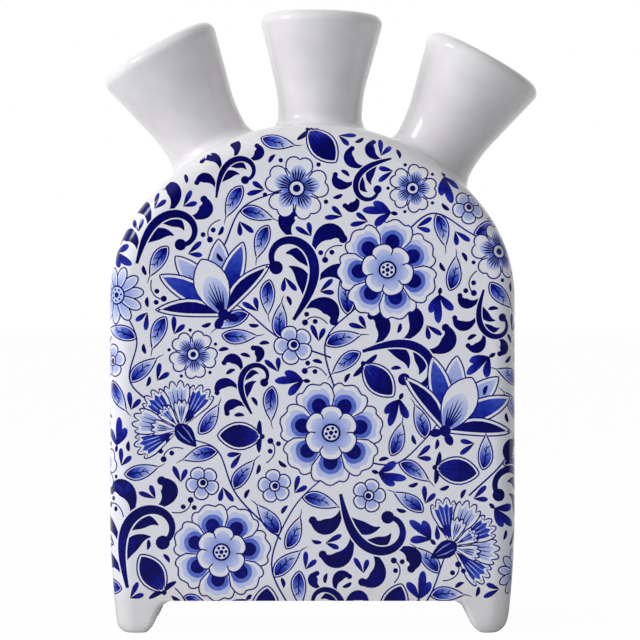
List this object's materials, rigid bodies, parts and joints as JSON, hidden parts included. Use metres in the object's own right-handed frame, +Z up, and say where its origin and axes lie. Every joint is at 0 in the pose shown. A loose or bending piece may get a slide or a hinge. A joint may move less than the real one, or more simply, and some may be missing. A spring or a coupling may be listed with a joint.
{
  "type": "tulipiere",
  "caption": "Flat arched flower vase of white glazed earthenware with a cobalt flower pattern, a fan of flared spouts on top and short tapered feet.",
  "frame": {"origin": "on the table under the middle of the overall width and depth", "axes": "+Z up, the decorated front faces -Y, +X to the viewer's right"},
  "size_m": [0.1412, 0.048, 0.2001],
  "materials": {
    "decorated_glaze": "gloss white tin-type glaze with a cobalt flower pattern under it",
    "white_glaze": "gloss white glaze"
  },
  "bodies": {
    "root": {"front_shell": "decorated_glaze", "back_shell": "decorated_glaze", "floor_slab": "white_glaze", "spout_left": "white_glaze", "spout_centre": "white_glaze", "spout_right": "white_glaze", "foot_front_left": "white_glaze", "foot_front_right": "white_glaze", "foot_back_left": "white_glaze", "foot_back_right": "white_glaze"}
  },
  "joints": []
}
